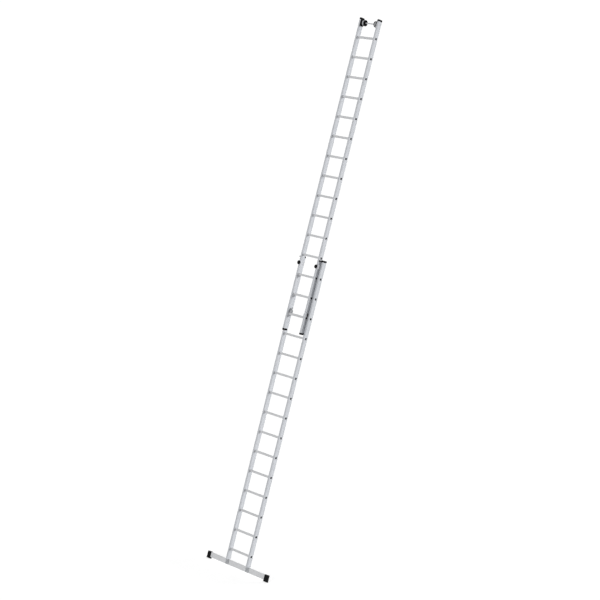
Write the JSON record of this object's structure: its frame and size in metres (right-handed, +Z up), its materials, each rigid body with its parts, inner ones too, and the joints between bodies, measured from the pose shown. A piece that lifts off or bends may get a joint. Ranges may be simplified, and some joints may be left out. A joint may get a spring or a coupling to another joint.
{
  "type": "extension ladder",
  "caption": "Two-section push-up extension ladder: box-section stiles, square rungs, drop hooks, guides, wall rollers on top and a wide stabiliser bar with rubber soles.",
  "frame": {"origin": "on the floor midway between the feet, on the line where the arched soles touch it", "axes": "+X along the rungs to the climber's right, +Y level towards the wall the ladder leans on, +Z up; the stiles lean 20 degrees from +Z towards +Y"},
  "size_m": [1.192, 2.6593, 7.3602],
  "materials": {
    "stile_aluminium": "mill-finish extrusion, satin",
    "rung_aluminium": "mill-finish extrusion with tread grooves, satin",
    "bar_aluminium": "mill-finish extrusion, satin",
    "bracket_aluminium": "pressed plate, satin",
    "cast_aluminium": "die-cast, fine matte grain",
    "axle_aluminium": "drawn tube, satin",
    "rivet_aluminium": "bright blind rivet",
    "zinc_steel": "zinc plated",
    "black_plastic": "fine moulded grain, matte",
    "grey_plastic": "moulded, satin",
    "black_rubber": "moulded rubber, matte",
    "sole_rubber": "ribbed rubber, matte"
  },
  "bodies": {
    "base": {"base_stile_left": "stile_aluminium", "guide_bracket_left": "bracket_aluminium", "base_stile_right": "stile_aluminium", "guide_bracket_right": "bracket_aluminium", "base_rung_01": "rung_aluminium", "base_rung_02": "rung_aluminium", "base_rung_03": "rung_aluminium", "base_rung_04": "rung_aluminium", "base_rung_05": "rung_aluminium", "base_rung_06": "rung_aluminium", "base_rung_07": "rung_aluminium", "base_rung_08": "rung_aluminium", "base_rung_09": "rung_aluminium", "base_rung_10": "rung_aluminium", "base_rung_11": "rung_aluminium", "base_rung_12": "rung_aluminium", "base_rung_13": "rung_aluminium", "base_rung_14": "rung_aluminium", "base_rung_15": "rung_aluminium", "base_rung_plugs": "black_plastic", "base_top_caps": "black_plastic", "guide_glides": "black_plastic", "guide_rivets": "rivet_aluminium", "stabiliser_bar": "bar_aluminium", "bar_brackets": "cast_aluminium", "bar_bolts": "zinc_steel", "foot_shoes": "black_plastic", "foot_soles": "sole_rubber"},
    "fly": {"fly_stile_left": "stile_aluminium", "hook_bracket_left": "cast_aluminium", "fly_stile_right": "stile_aluminium", "hook_bracket_right": "cast_aluminium", "fly_rung_01": "rung_aluminium", "fly_rung_02": "rung_aluminium", "fly_rung_03": "rung_aluminium", "fly_rung_04": "rung_aluminium", "fly_rung_05": "rung_aluminium", "fly_rung_06": "rung_aluminium", "fly_rung_07": "rung_aluminium", "fly_rung_08": "rung_aluminium", "fly_rung_09": "rung_aluminium", "fly_rung_10": "rung_aluminium", "fly_rung_11": "rung_aluminium", "fly_rung_12": "rung_aluminium", "fly_rung_13": "rung_aluminium", "fly_rung_14": "rung_aluminium", "fly_rung_15": "rung_aluminium", "fly_rung_plugs": "black_plastic", "fly_top_caps": "black_plastic", "fly_bottom_caps": "black_plastic", "hook_rivets": "rivet_aluminium", "roller_axle": "axle_aluminium", "hook_pins": "zinc_steel", "side_glides": "black_plastic"},
    "roller_left": {"wall_roller_left": "grey_plastic", "roller_tyres_left": "black_rubber"},
    "roller_right": {"wall_roller_right": "grey_plastic", "roller_tyres_right": "black_rubber"},
    "hook_left": {"drop_hook_left": "cast_aluminium"},
    "hook_right": {"drop_hook_right": "cast_aluminium"}
  },
  "joints": [
    {"name": "fly_slide", "type": "slide", "parent": "base", "child": "fly", "axis": [0, 0.342, 0.9397], "range_m": [-3.36, 0.06]},
    {"name": "roller_left_spin", "type": "hinge", "parent": "fly", "child": "roller_left", "pos_m": [-0.1184, 2.57858, 7.28223], "axis": [1, 0, 0], "continuous": true},
    {"name": "roller_right_spin", "type": "hinge", "parent": "fly", "child": "roller_right", "pos_m": [0.1184, 2.57858, 7.28223], "axis": [1, 0, 0], "continuous": true},
    {"name": "hook_left_swing", "type": "hinge", "parent": "fly", "child": "hook_left", "pos_m": [-0.136, 1.18894, 3.42915], "axis": [-1, 0, 0], "range_deg": [0, 115]},
    {"name": "hook_right_swing", "type": "hinge", "parent": "fly", "child": "hook_right", "pos_m": [0.136, 1.18894, 3.42915], "axis": [-1, 0, 0], "range_deg": [0, 115]}
  ]
}
